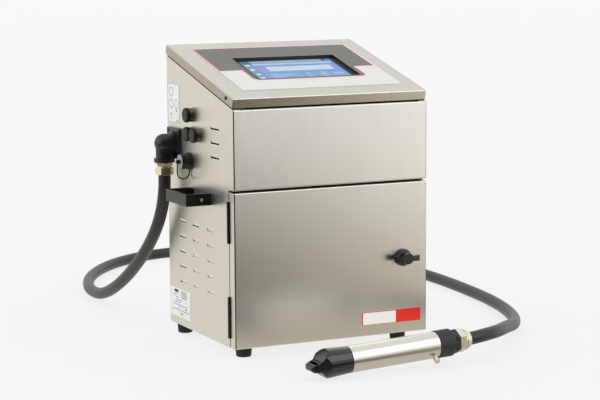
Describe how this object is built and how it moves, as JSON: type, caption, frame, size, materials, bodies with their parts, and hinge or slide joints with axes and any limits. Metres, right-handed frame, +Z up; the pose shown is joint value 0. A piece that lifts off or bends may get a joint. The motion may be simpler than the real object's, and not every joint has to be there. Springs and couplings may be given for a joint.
{
  "type": "date code inkjet printer",
  "caption": "Continuous inkjet date coder: stainless cabinet with a hinged door, a sloping hinged lid with a touch display, and a tubular printhead on a long umbilical hose.",
  "frame": {"origin": "middle of the footprint of everything but the umbilical hose, on the ground the feet stand on", "axes": "+X to the right of someone facing the door, +Y to the back, +Z up; the door faces -Y"},
  "size_m": [0.6814, 1.1905, 0.4916],
  "materials": {
    "stainless": "brushed, satin",
    "bright_steel": "zinc plated or turned",
    "black_steel": "black powder coat",
    "black_plastic": "moulded, satin",
    "rubber": "matt",
    "overlay": "printed membrane, satin",
    "bezel": "satin",
    "screen": "lit display under a clear window",
    "label": "stuck-on foil, satin",
    "brass": "dull nickel-brass",
    "nickel": "satin nickel",
    "circuit_board": "solder mask",
    "tank": "translucent polyethylene",
    "bottle_dark": "blow-moulded",
    "bottle_light": "blow-moulded",
    "aluminium": "machined",
    "motor": "grey enamel",
    "hose": "ribbed, satin"
  },
  "bodies": {
    "cabinet": {"base_pan": "stainless", "left_side_panel": "stainless", "right_side_panel": "stainless", "rear_panel": "stainless", "upper_front_panel": "stainless", "front_frame": "stainless", "compartment_shelf": "stainless", "rubber_feet": "rubber", "foot_screws": "bright_steel", "door_gasket": "rubber", "cabinet_hinge_leaves": "black_steel", "hinge_pins": "black_steel", "lid_gasket": "rubber", "rear_hinge_leaves": "bright_steel", "legend_label": "label", "rating_plate": "label", "outlet_plate": "black_plastic", "outlet_elbow": "black_plastic", "outlet_gland": "brass", "port_sockets": "brass", "data_port": "black_plastic", "cap_tether": "rubber", "side_bracket": "black_steel", "fitting_screws": "bright_steel", "ink_tank": "tank", "pump_motor": "motor", "valve_manifold": "aluminium", "cartridge_cradle": "black_plastic", "bulkhead_tubes": "hose", "main_board": "circuit_board", "power_supply": "bright_steel", "cooling_fan": "black_plastic", "mains_inlet": "black_plastic", "umbilical": "hose", "head_collar": "black_plastic", "head_gland": "nickel", "head_chassis": "aluminium"},
    "door": {"door_panel": "stainless", "badge_plate": "label", "door_hinge_leaves": "black_steel"},
    "latch": {"latch_knob": "black_plastic", "latch_cam": "bright_steel"},
    "lid": {"lid_panel": "stainless", "keypad_overlay": "overlay", "display_bezel": "bezel", "display_screen": "screen", "display_board": "circuit_board", "lid_screws": "bright_steel", "lid_hinge_leaves": "bright_steel"},
    "cap_upper": {"port_cap_upper": "black_plastic"},
    "cap_front": {"port_cap_front": "black_plastic"},
    "cap_back": {"port_cap_back": "black_plastic"},
    "connector_cap": {"data_cap": "black_plastic"},
    "ink_bottle": {"ink_cartridge": "bottle_dark"},
    "makeup_bottle": {"makeup_cartridge": "bottle_light"},
    "fan_rotor": {"fan_blades": "black_plastic"},
    "rocker": {"power_rocker": "black_plastic"},
    "head_cover": {"head_tube": "stainless", "head_nose": "black_plastic"},
    "head_screw": {"thumbscrew": "bright_steel"}
  },
  "joints": [
    {"name": "door_hinge", "type": "hinge", "parent": "cabinet", "child": "door", "pos_m": [-0.15535, -0.02095, 0.1435], "axis": [0, 0, -1], "range_deg": [0, 26]},
    {"name": "latch_turn", "type": "hinge", "parent": "door", "child": "latch", "pos_m": [0.15075, -0.0412, 0.144], "axis": [0, -1, 0], "range_deg": [0, 90]},
    {"name": "lid_hinge", "type": "hinge", "parent": "cabinet", "child": "lid", "pos_m": [0.02075, 0.2384, 0.47254], "axis": [-1, 0, 0], "range_deg": [0, 70]},
    {"name": "cap_upper_pull", "type": "slide", "parent": "cabinet", "child": "cap_upper", "axis": [-1, 0, 0], "range_m": [0, 0.02]},
    {"name": "cap_front_pull", "type": "slide", "parent": "cabinet", "child": "cap_front", "axis": [-1, 0, 0], "range_m": [0, 0.02]},
    {"name": "cap_back_pull", "type": "slide", "parent": "cabinet", "child": "cap_back", "axis": [-1, 0, 0], "range_m": [0, 0.02]},
    {"name": "connector_cap_turn", "type": "hinge", "parent": "cabinet", "child": "connector_cap", "pos_m": [-0.15425, 0.1358, 0.3035], "axis": [-1, 0, 0], "range_deg": [0, 90]},
    {"name": "ink_bottle_lift", "type": "slide", "parent": "cabinet", "child": "ink_bottle", "axis": [0, 0, 1], "range_m": [0, 0.035]},
    {"name": "makeup_bottle_lift", "type": "slide", "parent": "cabinet", "child": "makeup_bottle", "axis": [0, 0, 1], "range_m": [0, 0.035]},
    {"name": "fan_spin", "type": "hinge", "parent": "cabinet", "child": "fan_rotor", "pos_m": [-0.05425, 0.2338, 0.395], "axis": [0, 1, 0], "continuous": true},
    {"name": "rocker_tip", "type": "hinge", "parent": "cabinet", "child": "rocker", "pos_m": [0.15075, 0.2318, 0.33], "axis": [-1, 0, 0], "range_deg": [0, 12]},
    {"name": "head_cover_slide", "type": "slide", "parent": "cabinet", "child": "head_cover", "axis": [-0.9986, 0, -0.0523], "range_m": [0, 0.03]},
    {"name": "head_screw_turn", "type": "hinge", "parent": "head_cover", "child": "head_screw", "pos_m": [0.1005, -0.2182, 0.03313], "axis": [0.0343, -0.7547, -0.6552], "continuous": true}
  ]
}
